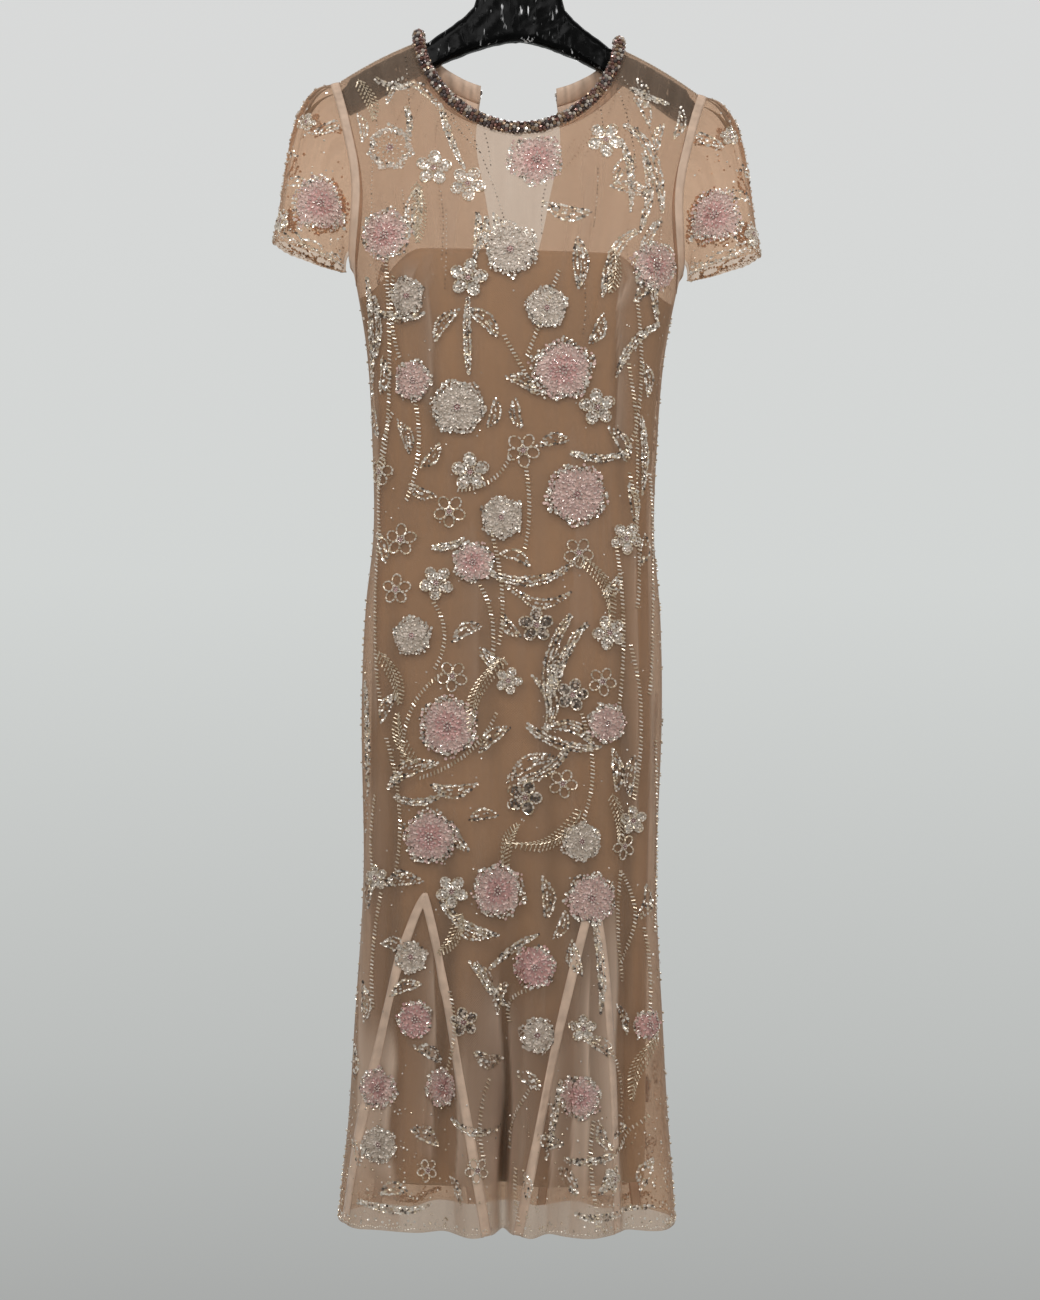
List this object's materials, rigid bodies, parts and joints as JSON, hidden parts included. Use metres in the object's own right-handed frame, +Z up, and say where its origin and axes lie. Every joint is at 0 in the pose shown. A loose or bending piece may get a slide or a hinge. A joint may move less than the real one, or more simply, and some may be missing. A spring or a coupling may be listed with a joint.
{
  "type": "sequin midi dress on a hanger",
  "caption": "Sheer tulle midi dress with beaded flowers, beaded round neck, flutter cap sleeves, godets and a plain slip lining, hanging on a broad-shouldered hanger.",
  "frame": {"origin": "the top of the hook's inside, where it rests on a rail", "axes": "+Z up, the dress's front faces -Y, +X to the viewer's right"},
  "size_m": [0.5206, 0.1636, 1.4118],
  "materials": {
    "net": "sheer peach net",
    "lining": "satin tan",
    "tape": "matt peach tape",
    "beads": "glittering bead rope",
    "hanger": "black under glossy film",
    "hook": "polished wire"
  },
  "bodies": {
    "root": {"front_panel": "net", "back_panel_left": "net", "back_panel_right": "net", "godet_front_left": "net", "godet_front_right": "net", "godet_back_left": "net", "godet_back_right": "net", "sleeve_left": "net", "sleeve_right": "net", "lining_front": "lining", "lining_back": "lining", "godet_tape_front_left": "tape", "godet_tape_front_right": "tape", "godet_tape_back_left": "tape", "godet_tape_back_right": "tape", "armhole_tape_left": "tape", "armhole_tape_right": "tape", "neck_facing_left": "tape", "neck_facing_right": "tape", "neck_rope": "beads", "hanger": "hanger", "hook": "hook"}
  },
  "joints": []
}
